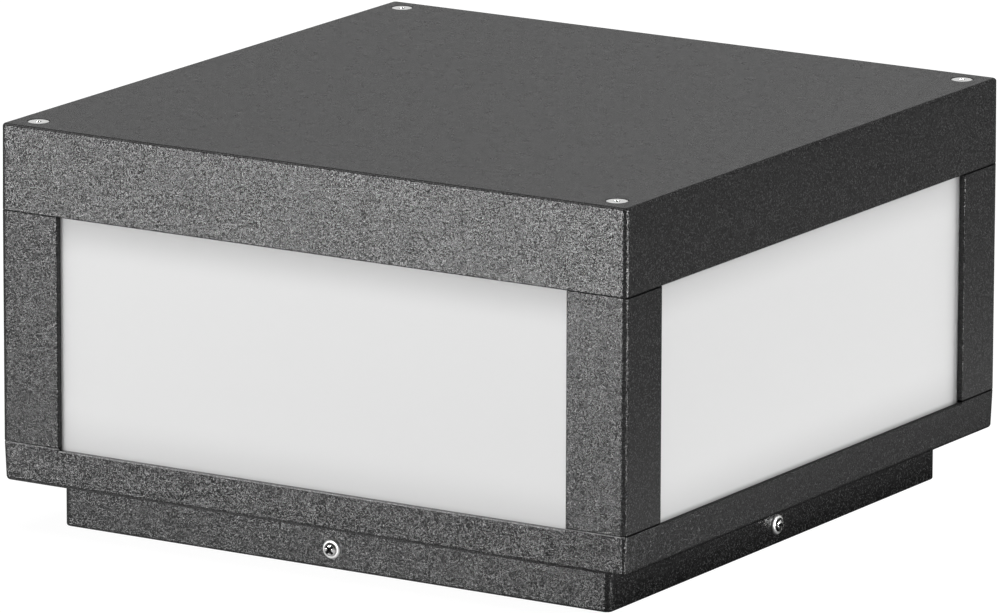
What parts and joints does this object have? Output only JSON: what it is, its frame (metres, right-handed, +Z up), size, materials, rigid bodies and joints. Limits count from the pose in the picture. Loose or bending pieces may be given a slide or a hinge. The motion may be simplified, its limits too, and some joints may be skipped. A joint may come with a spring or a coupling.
{
  "type": "outdoor post light",
  "caption": "Square outdoor pillar light: flat screwed cap, opal panels between corner posts, and a clamped plinth over a mounting bracket.",
  "frame": {"origin": "middle of the pillar's top face, under the plinth", "axes": "+Z up, -Y the front side, +X the right side"},
  "size_m": [0.25, 0.25, 0.1428],
  "materials": {
    "coated_aluminium": "satin",
    "opal_acrylic": "satin",
    "stainless_steel": "polished",
    "zinc_plated_steel": "satin",
    "white_sheet": "satin",
    "seal_rubber": "matte",
    "white_board": "satin",
    "led_phosphor": "satin",
    "white_plastic": "satin",
    "terminal_plastic": "satin",
    "brass": "satin",
    "gland_plastic": "satin",
    "brown_lead": "satin",
    "blue_lead": "satin",
    "green_yellow_lead": "satin",
    "red_lead": "satin",
    "black_lead": "satin"
  },
  "bodies": {
    "bracket": {"mounting_bracket": "zinc_plated_steel"},
    "lantern": {"plinth_skirt": "coated_aluminium", "base_tray": "coated_aluminium", "post_front_left": "coated_aluminium", "post_front_right": "coated_aluminium", "post_back_left": "coated_aluminium", "post_back_right": "coated_aluminium", "panel_front": "opal_acrylic", "panel_right": "opal_acrylic", "panel_back": "opal_acrylic", "panel_left": "opal_acrylic", "skirt_screws": "zinc_plated_steel", "post_screws": "zinc_plated_steel", "cover_screws": "zinc_plated_steel", "led_board_screws": "zinc_plated_steel", "driver_screws": "zinc_plated_steel", "terminal_screws": "zinc_plated_steel", "terminal_fixing": "zinc_plated_steel", "earth_washer": "zinc_plated_steel", "gear_cover": "white_sheet", "lower_seals": "seal_rubber", "gland_seal": "seal_rubber", "gland_insert": "seal_rubber", "lead_grommet": "seal_rubber", "led_board": "white_board", "led_chips": "led_phosphor", "driver_case": "white_plastic", "driver_lid": "white_plastic", "led_connector": "white_plastic", "terminal_block": "terminal_plastic", "earth_screw": "brass", "earth_lug": "brass", "gland_body": "gland_plastic", "gland_nut": "gland_plastic", "gland_locknut": "gland_plastic", "live_lead": "brown_lead", "neutral_lead": "blue_lead", "earth_lead": "green_yellow_lead", "led_lead_positive": "red_lead", "led_lead_negative": "black_lead"},
    "cap": {"top_cap": "coated_aluminium", "upper_seals": "seal_rubber", "cap_reflector": "white_sheet", "reflector_screws": "zinc_plated_steel", "cap_screws": "stainless_steel", "screw_retainers": "white_plastic"},
    "clamp_front": {"clamp_screw_front": "stainless_steel"},
    "clamp_right": {"clamp_screw_right": "stainless_steel"},
    "clamp_back": {"clamp_screw_back": "stainless_steel"},
    "clamp_left": {"clamp_screw_left": "stainless_steel"}
  },
  "joints": [
    {"name": "lantern_lift", "type": "slide", "parent": "bracket", "child": "lantern", "axis": [0, 0, 1], "range_m": [0, 0.05]},
    {"name": "cap_lift", "type": "slide", "parent": "lantern", "child": "cap", "axis": [0, 0, 1], "range_m": [0, 0.06]},
    {"name": "clamp_front_out", "type": "slide", "parent": "lantern", "child": "clamp_front", "axis": [0, -1, 0], "range_m": [0, 0.005]},
    {"name": "clamp_right_out", "type": "slide", "parent": "lantern", "child": "clamp_right", "axis": [1, 0, 0], "range_m": [0, 0.005]},
    {"name": "clamp_back_out", "type": "slide", "parent": "lantern", "child": "clamp_back", "axis": [0, 1, 0], "range_m": [0, 0.005]},
    {"name": "clamp_left_out", "type": "slide", "parent": "lantern", "child": "clamp_left", "axis": [-1, 0, 0], "range_m": [0, 0.005]}
  ]
}
